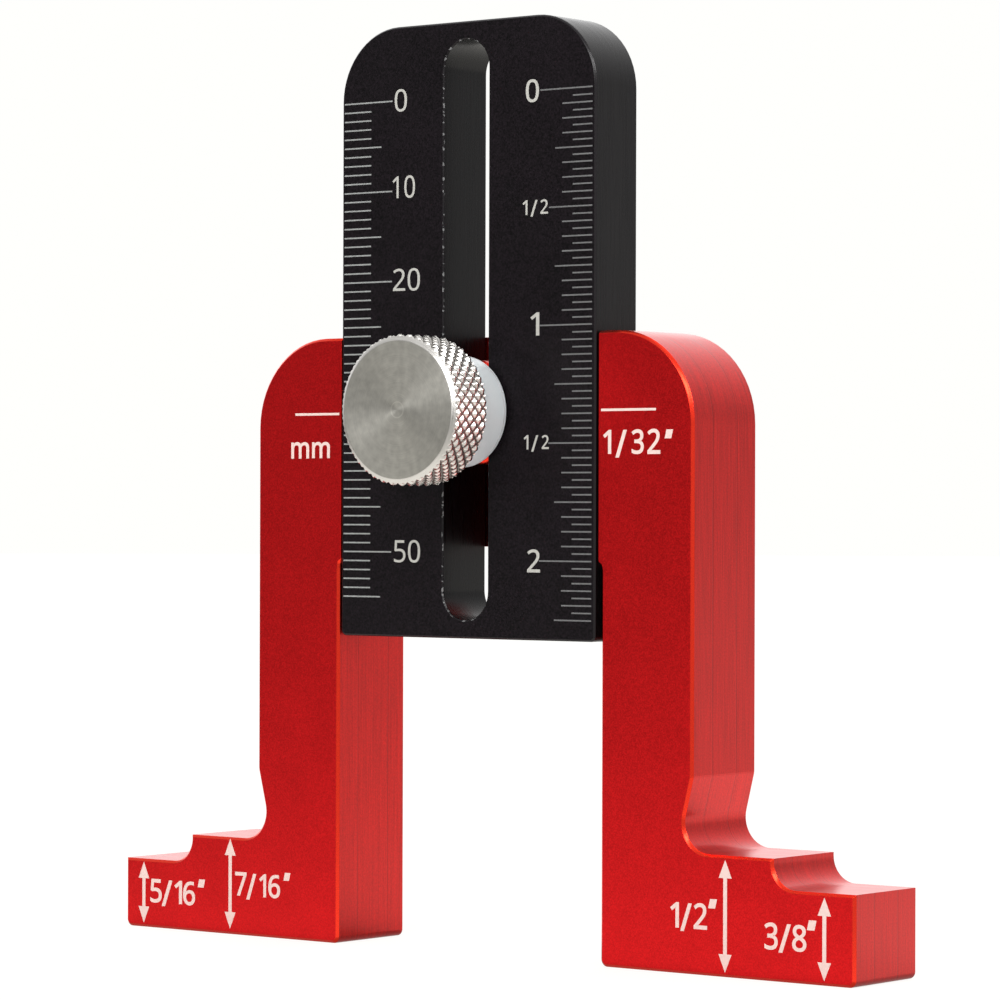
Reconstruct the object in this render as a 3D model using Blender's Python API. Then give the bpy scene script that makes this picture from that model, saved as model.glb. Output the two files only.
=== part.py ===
"""Height gauge for setting saw blades and router bits.

A milled bridge frame stands on two stepped feet. A scale plate slides up and down in its guide and is
clamped by a knurled thumb screw through a nylon collar. Lengths are in metres, +Z is up, the scale faces -Y.
"""

import math

import bmesh
import bpy
from mathutils import Matrix, Vector

MM = 0.001
INCH = 0.0254

# Bridge frame: overall size, legs and window
FRAME_WIDTH = 101.6 * MM
FRAME_HEIGHT = 67.9 * MM
FRAME_THICKNESS = 11.6 * MM
LEG_SPAN = 60.8 * MM
WINDOW_WIDTH = 36.7 * MM
WINDOW_HEIGHT = 44.6 * MM
WINDOW_CORNER_RADIUS = 2.6 * MM
SHOULDER_RADIUS = 10.0 * MM
FRONT_EDGE_BREAK = 0.3 * MM
BACK_EDGE_BREAK = 0.15 * MM

# Feet: gauge steps of four heights, and the waist milled into each leg above them
STEP_SPAN = 81.2 * MM
LEFT_OUTER_STEP = 5 / 16 * INCH
LEFT_INNER_STEP = 7 / 16 * INCH
RIGHT_INNER_STEP = 1 / 2 * INCH
RIGHT_OUTER_STEP = 3 / 8 * INCH
STEP_FILLET = 2.8 * MM
LEG_FILLET = 3.2 * MM
WAIST_RISE = 8.0 * MM
WAIST_ANGLE = math.radians(14)
WAIST_BLEND = 6.0 * MM
FOOT_CORNER_RADIUS = 0.8 * MM

# Scale plate
SLIDE_WIDTH = 35.5 * MM
SLIDE_HEIGHT = 67.6 * MM
SLIDE_THICKNESS = 7.5 * MM
SLIDE_TOP_RADIUS = 8.0 * MM
SLIDE_FOOT_RADIUS = 0.6 * MM
SLIDE_EDGE_BREAK = 0.2 * MM
SLOT_WIDTH = 6.4 * MM
SLOT_END_WALL = 2.0 * MM
SLOT_FRONT_BREAK = 0.15 * MM
SLOT_BACK_BREAK = 0.05 * MM
SLIDE_READING = 34.6 * MM
SLIDE_PROUD = 0.3 * MM
SLIDE_SIDE_CLEARANCE = 0.35 * MM
SLIDE_BACK_CLEARANCE = 0.3 * MM

# Guide key, which stands in the slot and holds the screw's thread, level with the index line
INDEX_DROP = 8.5 * MM
GUIDE_EDGE_BREAK = 0.2 * MM
KEY_HEIGHT = 11.4 * MM
KEY_SIDE_CLEARANCE = 0.35 * MM
KEY_CORNER_RADIUS = 2.2 * MM
KEY_RECESS = 1.5 * MM
KEY_EDGE_BREAK = 0.25 * MM
THREAD_COUNTERSINK = 0.5 * MM

# Thumb screw
SHANK_RADIUS = 2.0 * MM
SHANK_CLEARANCE = 0.3 * MM
SHANK_POINT = 0.5 * MM
SHANK_RECESS = 0.6 * MM
KNOB_RADIUS = 8.2 * MM
KNOB_LENGTH = 5.5 * MM
KNOB_FACE_RADIUS = 7.45 * MM
KNOB_FACE_BEVEL = 0.5 * MM
KNOB_BACK_BEVEL = 0.25 * MM
CENTRE_MARK_RADIUS = 0.7 * MM
CENTRE_MARK_DEPTH = 0.15 * MM
KNURL_DEPTH = 0.3 * MM
KNURL_AXIAL_PITCH = 1.4 * MM
KNURL_DIAMONDS = 38
KNURL_FLAT_SHARE = 0.38

# Nylon collar
COLLAR_RADIUS = 6.1 * MM
COLLAR_LENGTH = 5.6 * MM
COLLAR_EDGE_RADIUS = 0.5 * MM
COLLAR_GAP = 0.3 * MM

# How the shapes are cut up and cut through
ARC_STEP = math.radians(6)
COLLAR_EDGE_STEPS = 5
TURNED_SEGMENTS = 72
SMOOTH_ANGLE = math.radians(30)
CUT_OVERRUN = 1.0 * MM
MERGE_DISTANCE = 0.001 * MM
FILLET_WALL_SHARE = 0.9
FACING_SHARE = 0.9

# Where the pieces meet
INDEX_HEIGHT = FRAME_HEIGHT - INDEX_DROP
GUIDE_WIDTH = SLIDE_WIDTH + 2 * SLIDE_SIDE_CLEARANCE
GUIDE_DEPTH = SLIDE_THICKNESS - SLIDE_PROUD + SLIDE_BACK_CLEARANCE
KEY_WIDTH = SLOT_WIDTH - 2 * KEY_SIDE_CLEARANCE
BORE_RADIUS = SHANK_RADIUS + SHANK_CLEARANCE
KNOB_BACK = COLLAR_GAP + COLLAR_LENGTH + COLLAR_GAP
KNOB_FRONT = KNOB_BACK + KNOB_LENGTH
SHANK_TIP = SLIDE_PROUD + FRAME_THICKNESS - SHANK_RECESS
DEPTH_CENTRE = (FRAME_THICKNESS - SLIDE_PROUD - KNOB_FRONT) / 2


def clear_scene():
    for item in list(bpy.data.objects):
        bpy.data.objects.remove(item, do_unlink=True)


def finish(name, colour, roughness, metallic):
    material = bpy.data.materials.new(name)
    material.use_nodes = True
    shader = material.node_tree.nodes["Principled BSDF"]
    shader.inputs["Base Color"].default_value = (*colour, 1.0)
    shader.inputs["Roughness"].default_value = roughness
    shader.inputs["Metallic"].default_value = metallic
    return material


def fillet_arc(before, corner, after, radius):
    """The points of the arc that rounds one corner of an outline, no longer than its walls allow."""
    to_before = (before - corner).normalized()
    to_after = (after - corner).normalized()
    opening = to_before.angle(to_after)
    half_tangent = math.tan(opening / 2)
    wall = min((before - corner).length, (after - corner).length)
    reach = min(radius / half_tangent, FILLET_WALL_SHARE * wall)
    radius = reach * half_tangent
    centre = corner + (to_before + to_after).normalized() * radius / math.sin(opening / 2)
    start = corner + to_before * reach - centre
    turn = math.copysign(math.pi - opening, -to_before.cross(to_after))
    steps = max(2, math.ceil(abs(turn) / ARC_STEP))
    return [centre + Matrix.Rotation(turn * i / steps, 2) @ start for i in range(steps + 1)]


def rounded_outline(corners):
    """An outline from corners given as (x, z, radius), with a radius of 0 left sharp."""
    places = [Vector(corner[:2]) for corner in corners]
    points = []
    for i, (x, z, radius) in enumerate(corners):
        if radius:
            after = places[(i + 1) % len(places)]
            points += fillet_arc(places[i - 1], places[i], after, radius)
        else:
            points.append(places[i])
    return points


def plate_mesh(outline, front, back):
    """A plate of the outline, standing in the XZ plane from y = front to y = back."""
    bm = bmesh.new()
    face = bm.faces.new([bm.verts.new((x, front, z)) for x, z in outline])
    extruded = bmesh.ops.extrude_face_region(bm, geom=[face])["geom"]
    moved = [item for item in extruded if isinstance(item, bmesh.types.BMVert)]
    bmesh.ops.translate(bm, vec=(0, back - front, 0), verts=moved)
    bmesh.ops.recalc_face_normals(bm, faces=bm.faces)
    return bm


def break_edges(bm, width, facing):
    """Chamfers the rims of the faces that look along the given directions."""
    rims = set()
    for face in bm.faces:
        if any(face.normal.dot(Vector(direction)) > FACING_SHARE for direction in facing):
            rims.update(face.edges)
    rules = {"offset_type": "OFFSET", "segments": 1, "profile": 0.5, "affect": "EDGES", "material": -1}
    bmesh.ops.bevel(bm, geom=list(rims), offset=width, **rules)


def add_object(name, bm, parent, material=None, location=(0, 0, 0), rotation=(0, 0, 0)):
    mesh = bpy.data.meshes.new(name)
    bm.to_mesh(mesh)
    bm.free()
    mesh.shade_smooth()
    mesh.set_sharp_from_angle(angle=SMOOTH_ANGLE)
    item = bpy.data.objects.new(name, mesh)
    bpy.context.scene.collection.objects.link(item)
    item.parent = parent
    item.location = location
    item.rotation_euler = rotation
    if material:
        mesh.materials.append(material)
    return item


def boolean(item, tool, operation):
    """Cuts or joins the item with a tool that stays in the file as a wire guide."""
    tool.hide_render = True
    tool.display_type = "WIRE"
    modifier = item.modifiers.new(tool.name, "BOOLEAN")
    modifier.operation = operation
    modifier.object = tool


def lathe_mesh(profile, closed):
    """Turns a profile of (radius, height) points about +Z. A closed profile makes a ring with a bore."""
    bm = bmesh.new()
    verts = [bm.verts.new((radius, 0, height)) for radius, height in profile]
    edges = [bm.edges.new(pair) for pair in zip(verts, verts[1:])]
    if closed:
        edges.append(bm.edges.new((verts[-1], verts[0])))
    bmesh.ops.spin(
        bm, geom=edges, cent=(0, 0, 0), axis=(0, 0, 1), angle=math.tau, steps=TURNED_SEGMENTS, use_merge=True
    )
    bmesh.ops.remove_doubles(bm, verts=bm.verts, dist=MERGE_DISTANCE)
    bmesh.ops.recalc_face_normals(bm, faces=bm.faces)
    return bm


def side_corners(inner_step, outer_step):
    """One side of the frame, from the base of its foot up to the top of its shoulder, at +X."""
    waist_foot = LEG_SPAN / 2 - WAIST_RISE * math.tan(WAIST_ANGLE)
    return [
        (FRAME_WIDTH / 2, 0, FOOT_CORNER_RADIUS),
        (FRAME_WIDTH / 2, outer_step, 0),
        (STEP_SPAN / 2, outer_step, STEP_FILLET),
        (STEP_SPAN / 2, inner_step, 0),
        (waist_foot, inner_step, LEG_FILLET),
        (LEG_SPAN / 2, inner_step + WAIST_RISE, WAIST_BLEND),
        (LEG_SPAN / 2, FRAME_HEIGHT, SHOULDER_RADIUS),
    ]


def frame_outline():
    half = WINDOW_WIDTH / 2
    right = side_corners(RIGHT_INNER_STEP, RIGHT_OUTER_STEP)
    left = [(-x, z, radius) for x, z, radius in side_corners(LEFT_INNER_STEP, LEFT_OUTER_STEP)]
    window = [
        (-half, 0, FOOT_CORNER_RADIUS),
        (-half, WINDOW_HEIGHT, WINDOW_CORNER_RADIUS),
        (half, WINDOW_HEIGHT, WINDOW_CORNER_RADIUS),
        (half, 0, FOOT_CORNER_RADIUS),
    ]
    return rounded_outline(window + right + left[::-1])


def guide_cutter(root):
    """The guide that the scale plate runs in, open at the front, above and below, with broken mouth edges."""
    half = GUIDE_WIDTH / 2
    mouth = half + GUIDE_EDGE_BREAK
    section = [
        (-mouth, -CUT_OVERRUN),
        (mouth, -CUT_OVERRUN),
        (mouth, 0),
        (half, GUIDE_EDGE_BREAK),
        (half, GUIDE_DEPTH),
        (-half, GUIDE_DEPTH),
        (-half, GUIDE_EDGE_BREAK),
        (-mouth, 0),
    ]
    bm = bmesh.new()
    face = bm.faces.new([bm.verts.new((x, y, WINDOW_HEIGHT - WINDOW_CORNER_RADIUS)) for x, y in section])
    extruded = bmesh.ops.extrude_face_region(bm, geom=[face])["geom"]
    moved = [item for item in extruded if isinstance(item, bmesh.types.BMVert)]
    top = FRAME_HEIGHT + CUT_OVERRUN
    bmesh.ops.translate(bm, vec=(0, 0, top - WINDOW_HEIGHT + WINDOW_CORNER_RADIUS), verts=moved)
    bmesh.ops.recalc_face_normals(bm, faces=bm.faces)
    return add_object("guide_cut", bm, root)


def guide_key(root):
    """The key that is left standing in the guide, with its foot sunk in the bridge behind it."""
    half_width = KEY_WIDTH / 2
    low = INDEX_HEIGHT - KEY_HEIGHT / 2
    high = INDEX_HEIGHT + KEY_HEIGHT / 2
    corners = [(-half_width, low), (half_width, low), (half_width, high), (-half_width, high)]
    outline = rounded_outline([(x, z, KEY_CORNER_RADIUS) for x, z in corners])
    bm = plate_mesh(outline, KEY_RECESS - SLIDE_PROUD, GUIDE_DEPTH + CUT_OVERRUN)
    break_edges(bm, KEY_EDGE_BREAK, [(0, -1, 0)])
    return add_object("guide_key", bm, root)


def thread_cutter(root):
    """The screw's hole through key and bridge, countersunk at the back."""
    back = FRAME_THICKNESS
    flare = BORE_RADIUS + THREAD_COUNTERSINK
    profile = [
        (0, 0),
        (BORE_RADIUS, 0),
        (BORE_RADIUS, back - THREAD_COUNTERSINK),
        (flare, back),
        (flare, back + CUT_OVERRUN),
        (0, back + CUT_OVERRUN),
    ]
    bm = lathe_mesh(profile, closed=False)
    return add_object("thread_cut", bm, root, location=(0, 0, INDEX_HEIGHT), rotation=(-math.pi / 2, 0, 0))


def bridge_frame(root):
    bm = plate_mesh(frame_outline(), 0, FRAME_THICKNESS)
    break_edges(bm, FRONT_EDGE_BREAK, [(0, -1, 0)])
    break_edges(bm, BACK_EDGE_BREAK, [(0, 1, 0)])
    red = finish("red_anodised", (0.42, 0.012, 0.016), 0.38, 0.55)
    frame = add_object("bridge_frame", bm, root, red)
    boolean(frame, guide_cutter(root), "DIFFERENCE")
    boolean(frame, guide_key(root), "UNION")
    boolean(frame, thread_cutter(root), "DIFFERENCE")


def slot_outline(half):
    """The long slot with its round ends, for a given half width, in the scale plate's own frame."""
    low = SLOT_END_WALL + SLOT_WIDTH / 2
    high = SLIDE_HEIGHT - low
    steps = math.ceil(math.pi / ARC_STEP)
    turns = [math.pi * i / steps for i in range(steps + 1)]
    upper = [(half * math.cos(turn), high + half * math.sin(turn)) for turn in turns]
    return upper + [(-half * math.cos(turn), low - half * math.sin(turn)) for turn in turns]


def slot_cutter(slide):
    """The slot right through the scale plate, with broken edges at both mouths."""
    half = SLOT_WIDTH / 2
    front_mouth = half + SLOT_FRONT_BREAK
    back_mouth = half + SLOT_BACK_BREAK
    sections = [
        (front_mouth, -CUT_OVERRUN),
        (front_mouth, 0),
        (half, SLOT_FRONT_BREAK),
        (half, SLIDE_THICKNESS - SLOT_BACK_BREAK),
        (back_mouth, SLIDE_THICKNESS),
        (back_mouth, SLIDE_THICKNESS + CUT_OVERRUN),
    ]
    bm = bmesh.new()
    rings = [[bm.verts.new((x, y, z)) for x, z in slot_outline(width)] for width, y in sections]
    for ring, following in zip(rings, rings[1:]):
        join_rings(bm, ring, following)
    bm.faces.new(rings[0])
    bm.faces.new(rings[-1])
    bmesh.ops.recalc_face_normals(bm, faces=bm.faces)
    return add_object("slot_cut", bm, slide)


def scale_slide(root):
    half = SLIDE_WIDTH / 2
    outline = rounded_outline(
        [
            (-half, 0, SLIDE_FOOT_RADIUS),
            (half, 0, SLIDE_FOOT_RADIUS),
            (half, SLIDE_HEIGHT, SLIDE_TOP_RADIUS),
            (-half, SLIDE_HEIGHT, SLIDE_TOP_RADIUS),
        ]
    )
    bm = plate_mesh(outline, 0, SLIDE_THICKNESS)
    break_edges(bm, SLIDE_EDGE_BREAK, [(0, -1, 0), (0, 1, 0)])
    black = finish("black_anodised", (0.012, 0.011, 0.012), 0.42, 0.4)
    slide = add_object("scale_slide", bm, root, black, location=(0, -SLIDE_PROUD, SLIDE_READING))
    boolean(slide, slot_cutter(slide), "DIFFERENCE")


def nylon_collar(root):
    """A thick washer between knob and scale plate, turned about +Z, which points to the front."""
    edge = COLLAR_EDGE_RADIUS
    turns = [math.pi / 2 * i / COLLAR_EDGE_STEPS for i in range(COLLAR_EDGE_STEPS + 1)]
    rounded = [(edge * math.sin(turn), edge * math.cos(turn)) for turn in turns]
    low, high = COLLAR_GAP, COLLAR_GAP + COLLAR_LENGTH
    back = [(COLLAR_RADIUS - edge + x, low + edge - z) for x, z in rounded]
    front = [(COLLAR_RADIUS - edge + x, high - edge + z) for x, z in rounded]
    profile = [(BORE_RADIUS, high), *front, *back[::-1], (BORE_RADIUS, low)]
    white = finish("white_nylon", (0.62, 0.66, 0.7), 0.35, 0.0)
    bm = lathe_mesh(profile, closed=True)
    add_object("nylon_collar", bm, root, white, location=axis_place(), rotation=(math.pi / 2, 0, 0))


def axis_place():
    """Where the screw's axis meets the front of the scale plate."""
    return (0, -SLIDE_PROUD, INDEX_HEIGHT)


def polar_vert(bm, radius, angle, height):
    return bm.verts.new((radius * math.cos(angle), radius * math.sin(angle), height))


def following_ring(bm, ring, radius, height):
    """A plain ring with one vertex at the angle of each vertex of the given ring."""
    return [polar_vert(bm, radius, math.atan2(vert.co.y, vert.co.x), height) for vert in ring]


def join_rings(bm, ring, other):
    count = len(ring)
    for i in range(count):
        bm.faces.new((ring[i], ring[(i + 1) % count], other[(i + 1) % count], other[i]))


def knurl(bm, low, high):
    """Raised diamonds with flat tops between two crossing sets of grooves. Returns both end rims."""
    rows = max(2, round((high - low) / (KNURL_AXIAL_PITCH / 2)))
    columns = 2 * KNURL_DIAMONDS
    row_height = (high - low) / rows
    column_turn = math.tau / columns
    groove_radius = KNOB_RADIUS - KNURL_DEPTH
    crossings = {}
    for row in range(rows + 1):
        for column in range(row % 2, columns, 2):
            place = (groove_radius, column * column_turn, low + row * row_height)
            crossings[column, row] = polar_vert(bm, *place)
    rims = {0: [], rows: []}
    for row in range(rows + 1):
        for column in range((row + 1) % 2, columns, 2):
            add_diamond(bm, crossings, rims, column, row, (rows, columns, low, row_height, column_turn))
    return rims[0], rims[rows]


def add_diamond(bm, crossings, rims, column, row, grid):
    """One diamond, or the half of one that an end of the band leaves."""
    rows, columns, low, row_height, column_turn = grid
    ways = [(-1, 0), (0, -1), (1, 0), (0, 1)]
    inside = [(across, along) for across, along in ways if 0 <= row + along <= rows]
    outer = [crossings[(column + across) % columns, row + along] for across, along in inside]
    inner = []
    for across, along in inside:
        angle = (column + across * KNURL_FLAT_SHARE) * column_turn
        height = low + (row + along * KNURL_FLAT_SHARE) * row_height
        inner.append(polar_vert(bm, KNOB_RADIUS, angle, height))
    bm.faces.new(inner)
    open_side = {0: ((-1, 0), (1, 0)), rows: ((1, 0), (-1, 0))}.get(row)
    for i in range(len(inside)):
        following = (i + 1) % len(inside)
        if open_side and {inside[i], inside[following]} == set(open_side):
            continue
        bm.faces.new((outer[i], outer[following], inner[following], inner[i]))
    if open_side:
        sides = [inside.index((-1, 0)), inside.index((1, 0))]
        rims[row] += [outer[sides[0]], inner[sides[0]], inner[sides[1]]]


def thumb_screw(root):
    """Knurled knob and shank in one turned piece, along +Z, which points to the front."""
    bm = bmesh.new()
    back_rim, front_rim = knurl(bm, KNOB_BACK + KNOB_BACK_BEVEL, KNOB_FRONT - KNOB_FACE_BEVEL)
    mark_floor = KNOB_FRONT - CENTRE_MARK_DEPTH
    front_rings = [
        (KNOB_FACE_RADIUS, KNOB_FRONT),
        (CENTRE_MARK_RADIUS, KNOB_FRONT),
        (CENTRE_MARK_RADIUS - CENTRE_MARK_DEPTH, mark_floor),
    ]
    back_rings = [
        (KNOB_FACE_RADIUS, KNOB_BACK),
        (SHANK_RADIUS, KNOB_BACK),
        (SHANK_RADIUS, SHANK_POINT - SHANK_TIP),
        (SHANK_RADIUS - SHANK_POINT, -SHANK_TIP),
    ]
    for rim, places in ((front_rim, front_rings), (back_rim, back_rings)):
        ring = rim
        for radius, height in places:
            inner_ring = following_ring(bm, rim, radius, height)
            join_rings(bm, ring, inner_ring)
            ring = inner_ring
        bm.faces.new(ring)
    bmesh.ops.recalc_face_normals(bm, faces=bm.faces)
    steel = finish("stainless_steel", (0.56, 0.55, 0.5), 0.28, 1.0)
    add_object("thumb_screw", bm, root, steel, location=axis_place(), rotation=(math.pi / 2, 0, 0))


def main():
    clear_scene()
    root = bpy.data.objects.new("gauge_origin", None)
    root.location = (0, -DEPTH_CENTRE, 0)
    bpy.context.scene.collection.objects.link(root)
    bridge_frame(root)
    scale_slide(root)
    nylon_collar(root)
    thumb_screw(root)


main()
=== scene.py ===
"""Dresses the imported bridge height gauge: its milled and turned pieces, its markings, and a pale studio round it."""

import math

import bmesh
import bpy
from bpy.props import FloatProperty, FloatVectorProperty, IntProperty, PointerProperty
from mathutils import Matrix, Vector


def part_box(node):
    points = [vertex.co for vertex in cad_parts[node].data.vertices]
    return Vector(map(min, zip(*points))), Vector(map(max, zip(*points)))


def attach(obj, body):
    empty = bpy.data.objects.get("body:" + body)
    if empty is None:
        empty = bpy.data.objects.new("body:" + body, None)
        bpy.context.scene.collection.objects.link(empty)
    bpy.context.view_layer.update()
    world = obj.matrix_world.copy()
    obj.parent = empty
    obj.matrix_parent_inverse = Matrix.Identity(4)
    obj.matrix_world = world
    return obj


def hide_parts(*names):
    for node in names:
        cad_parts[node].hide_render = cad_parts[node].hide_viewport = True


bl_info = {
    "name": "Bridge height gauge",
    "version": (1, 0, 0),
    "blender": (4, 5, 0),
    "location": "3D Viewport > Sidebar > Height gauge",
    "description": "Builds the finished pieces and markings of a bridge height gauge over its packed model",
    "category": "Object",
}

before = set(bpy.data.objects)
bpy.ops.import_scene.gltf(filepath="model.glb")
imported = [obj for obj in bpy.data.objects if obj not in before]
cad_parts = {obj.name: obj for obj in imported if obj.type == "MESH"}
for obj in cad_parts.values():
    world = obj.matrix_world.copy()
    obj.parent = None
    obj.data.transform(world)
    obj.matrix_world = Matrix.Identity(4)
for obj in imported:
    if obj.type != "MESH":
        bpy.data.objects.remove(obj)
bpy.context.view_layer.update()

MM = 0.001
INCH = 25.4 * MM
PLATE_LOW, PLATE_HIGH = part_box("scale_slide")
BRIDGE_LOW, BRIDGE_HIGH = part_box("bridge_frame")
SCREW_LOW, SCREW_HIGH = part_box("thumb_screw")
COLLAR_LOW, COLLAR_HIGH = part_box("nylon_collar")
SCREW_RADIUS = (SCREW_HIGH.x - SCREW_LOW.x) / 2
SCREW_HEIGHT = (SCREW_HIGH.z + SCREW_LOW.z) / 2
SANS_DIGITS = {str(digit): chr(0x1D7E2 + digit) for digit in range(10)}
SANS_M = "\U0001d5c6"

# Marks: their thickness, how deep a line is sunk, and where the lines of the two scales begin or end
MARK_THICKNESS = 0.03 * MM
LINE_SUNK = 0.02 * MM
INDEX_WIDTH = 0.27 * MM
MILLIMETRE_LINES_START = -17.37 * MM
INCH_LINES_END = 17.3 * MM
ARROW_HALF, ARROW_SHAFT, ARROW_HEAD = 0.83 * MM, 0.24 * MM, 1.9 * MM

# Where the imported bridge's guide walls, leg walls and waists lie, and how much of a waist's blend is left
GUIDE_WALL = 18.1 * MM
GUIDE_INNER, GUIDE_OUTER = 18.02 * MM, 18.5 * MM
GUIDE_FLOOR = 7.75 * MM
GUIDE_FOOT = 43 * MM
LEG_WALL = 29.5 * MM
WAIST_REACH = 0.85 * MM
WAIST_LEFT_OVER = 0.15

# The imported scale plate's slot, without and with the faces round its mouth
SLOT_ZONE = 3.6 * MM
SLOT_MOUTH_ZONE = 5 * MM

# How faces are sorted: nearness to the front or back, and the share of Y in a face's normal
FACE_BAND = 0.1 * MM
FACING_FRONT, FACING_SIDE = 0.97, 0.25

# Lamps: name, way from the gauge, distance, width, height, radiance, and whether they light matte surfaces
LAMPS = (
    ("key_lamp", (0.27, -0.83, 0.47), 0.9, 0.45, 0.45, 6.0, True),
    ("top_lamp", (0.12, 0.15, 1), 0.9, 0.7, 0.6, 0.9, True),
    ("side_lamp", (0.62, -0.56, 0.55), 1.1, 0.3, 0.35, 9.0, False),
    ("window_lamp", (0.84, -0.03, 0.54), 0.9, 0.5, 0.3, 15.0, False),
)


def length(name, description, millimetres):
    """A length setting, given in millimetres."""
    return FloatProperty(name=name, description=description, default=millimetres * MM, unit="LENGTH", precision=5)


def colour(name, description, value):
    """A colour setting."""
    return FloatVectorProperty(
        name=name, description=description, default=value, size=3, min=0, max=1, subtype="COLOR"
    )


class BridgeSettings(bpy.types.PropertyGroup):
    front_red: colour("Front red", "Red of the blasted front and back", (0.65, 0.0125, 0.0145))
    wall_red: colour("Wall red", "Red of the milled walls", (0.48, 0.007, 0.005))
    edge_red: colour("Edge red", "Red of the freshly cut edge breaks", (0.88, 0.042, 0.02))
    grain: length("Grain", "Size of the blasted grain", 0.14)
    edge_round: length("Edge round", "Rounding left on every cut edge", 0.05)
    guide_half: length("Guide half", "Distance from the middle to the guide's walls", 17.93)
    left_waist: length("Left waist", "Height at which the left leg's waist begins", 19.1125)
    right_waist: length("Right waist", "Height at which the right leg's waist begins", 20.7)
    waist_angle: FloatProperty(
        name="Waist angle", description="Slope of the waists", default=math.radians(14), subtype="ANGLE"
    )


class PlateSettings(bpy.types.PropertyGroup):
    front_black: colour("Front black", "Black of the blasted faces", (0.006, 0.004, 0.0055))
    wall_black: colour("Wall black", "Black of the milled walls", (0.004, 0.003, 0.0035))
    nick_colour: colour("Nick colour", "Bare metal in small nicks along the slot", (0.2, 0.2, 0.2))
    grain: length("Grain", "Size of the blasted grain", 0.2)
    edge_round: length("Edge round", "Rounding left on every cut edge", 0.05)
    slot_fit: FloatProperty(
        name="Slot fit", description="Width of the slot as a share of the packed model's", default=0.975,
        min=0.95, max=1,
    )


class ScrewSettings(bpy.types.PropertyGroup):
    face_steel: colour("Face steel", "Colour of the knob's faced end", (0.58, 0.563, 0.508))
    steel: colour("Steel", "Colour of the bare steel", (0.8, 0.775, 0.735))
    # groove: the colour that the knurl's grooves are darkened towards, as painted shade
    groove: colour("Groove", "Colour deep in the knurl", (0.33, 0.3, 0.27))
    diamonds: IntProperty(name="Diamonds", description="Knurl diamonds round the knob", default=38, min=8)
    divisions: IntProperty(name="Divisions", description="Mesh steps across one diamond", default=14, min=4)
    knurl_pitch: length("Knurl pitch", "Length of one diamond along the knob", 1.42)
    knurl_depth: length("Knurl depth", "Depth of the knurl grooves", 0.34)
    knurl_start: length("Knurl start", "Distance of a diamond's middle from the knob's face", 2.15)
    knurl_turn: FloatProperty(
        name="Knurl turn", description="Turn of a diamond's middle round the knob", default=math.radians(6),
        subtype="ANGLE",
    )
    face_radius: length("Face radius", "Radius of the knob's flat face", 7.45)
    face_bevel: length("Face bevel", "Length of the knob's front bevel along its axis", 0.5)
    back_bevel: length("Back bevel", "Length of the knob's back bevel along its axis", 0.25)
    knob_length: length("Knob length", "Length of the knurled knob", 5.5)
    centre_radius: length("Centre radius", "Radius of the centre mark on the face", 0.85)
    thread_radius: length("Thread radius", "Outer radius of the thread", 2.0)
    thread_depth: length("Thread depth", "Depth of the thread", 0.4)
    thread_pitch: length("Thread pitch", "Pitch of the thread", 0.7)


class CollarSettings(bpy.types.PropertyGroup):
    nylon: colour("Nylon", "Colour of the natural nylon", (0.86, 0.93, 1.0))
    bore_radius: length("Bore radius", "Radius of the collar's bore", 2.3)
    edge_radius: length("Edge radius", "Rounding of the collar's edges", 0.5)


class MarkSettings(bpy.types.PropertyGroup):
    bridge_white: colour("Bridge white", "Colour of the lettering on the bridge", (0.86, 0.66, 0.6))
    numeral_white: colour("Numeral white", "Colour of the scale numerals", (0.5, 0.49, 0.45))
    line_white: colour("Line white", "Colour of the millimetre lines", (0.34, 0.35, 0.34))
    inch_grey: colour("Inch grey", "Colour of the inch lines", (0.17, 0.17, 0.17))
    proud: length("Proud", "How far a mark stands over its surface", 0.012)
    line_width: length("Line width", "Width of a scale line", 0.16)
    index_height: length("Index height", "Height of the index lines over the feet", 59.4)
    zero_height: length("Zero height", "Height of both zeros over the scale plate's foot", 59.4)
    numeral_height: length("Numeral height", "Height of the scale numerals", 2.5)


class StageSettings(bpy.types.PropertyGroup):
    target: FloatVectorProperty(
        name="Target", description="Point that the camera looks at", default=(0.004639, 0.0002, 0.049773),
        size=3, subtype="TRANSLATION",
    )
    distance: length("Distance", "Camera's distance from its target", 454.6)
    lens: FloatProperty(name="Lens", description="Focal length on a 36 mm sensor", default=150.48, unit="CAMERA")
    yaw: FloatProperty(
        name="Yaw", description="Camera's turn to the gauge's right", default=math.radians(38.165), subtype="ANGLE"
    )
    pitch: FloatProperty(
        name="Pitch", description="How far the camera looks down", default=math.radians(-0.123), subtype="ANGLE"
    )
    roll: FloatProperty(name="Roll", description="Camera's roll", default=math.radians(0.168), subtype="ANGLE")
    floor_radius: FloatProperty(name="Floor radius", description="Radius of the pale table", default=4, unit="LENGTH")


class GaugeSettings(bpy.types.PropertyGroup):
    bridge: PointerProperty(type=BridgeSettings, name="Bridge", description="Finish of the red bridge")
    plate: PointerProperty(type=PlateSettings, name="Scale plate", description="Finish of the black scale plate")
    screw: PointerProperty(type=ScrewSettings, name="Thumb screw", description="Shape and finish of the thumb screw")
    collar: PointerProperty(type=CollarSettings, name="Collar", description="Shape and finish of the collar")
    marks: PointerProperty(type=MarkSettings, name="Marks", description="Sizes and colours of the markings")
    stage: PointerProperty(type=StageSettings, name="Stage", description="Camera, table and light")


# Materials


def new_finish(name, metallic, roughness, specular, base=None):
    """A material with its Principled shader, and the object coordinates that its patterns follow."""
    material = bpy.data.materials.new(name)
    material.use_nodes = True
    tree = material.node_tree
    shader = tree.nodes["Principled BSDF"]
    shader.inputs["Metallic"].default_value = metallic
    shader.inputs["Roughness"].default_value = roughness
    shader.inputs["Specular IOR Level"].default_value = specular
    if base:
        shader.inputs["Base Color"].default_value = (*base, 1)
    place = tree.nodes.new("ShaderNodeTexCoord").outputs["Object"]
    return material, tree, shader, place


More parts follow.
